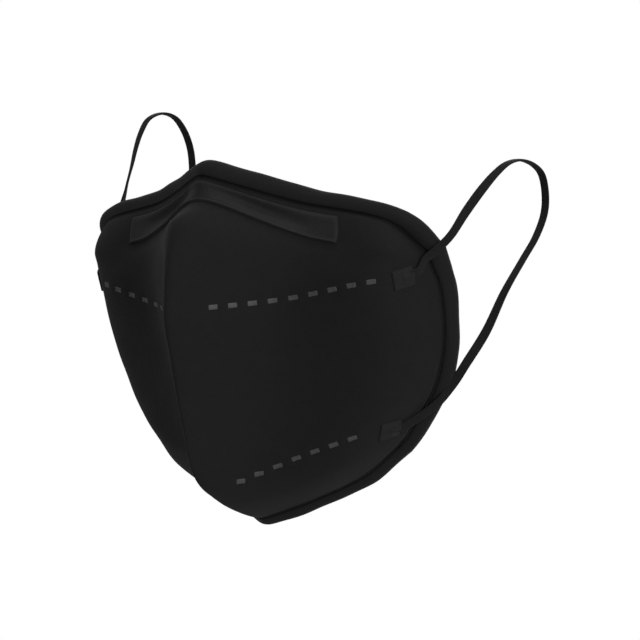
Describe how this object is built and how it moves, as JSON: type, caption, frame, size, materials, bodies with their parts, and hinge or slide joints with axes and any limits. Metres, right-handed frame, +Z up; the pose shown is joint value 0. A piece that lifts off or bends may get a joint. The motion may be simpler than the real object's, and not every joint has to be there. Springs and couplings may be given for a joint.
{
  "type": "fold-flat respirator mask with ear loops",
  "caption": "Cup-like cloth respirator mask with a front fold, a welded border, a bonded nose strip and elastic ear loops held by welded pads.",
  "frame": {"origin": "middle of the face opening, where the border meets the face", "axes": "+Y from the front fold towards the wearer's face, +X towards the wearer's left, +Z up"},
  "size_m": [0.1482, 0.1171, 0.1397],
  "materials": {
    "mask_cloth": "matt black non-woven cloth, heat-fused at its welds",
    "strip_cloth": "black non-woven cloth pressed over a flat wire",
    "pad_cloth": "black non-woven tab, embossed by its weld",
    "elastic": "matt black knitted elastic"
  },
  "bodies": {
    "root": {"mask_body": "mask_cloth", "nose_strip": "strip_cloth", "weld_pad_upper_left": "pad_cloth", "weld_pad_upper_right": "pad_cloth", "weld_pad_lower_left": "pad_cloth", "weld_pad_lower_right": "pad_cloth", "ear_loop_left": "elastic", "ear_loop_right": "elastic"}
  },
  "joints": []
}
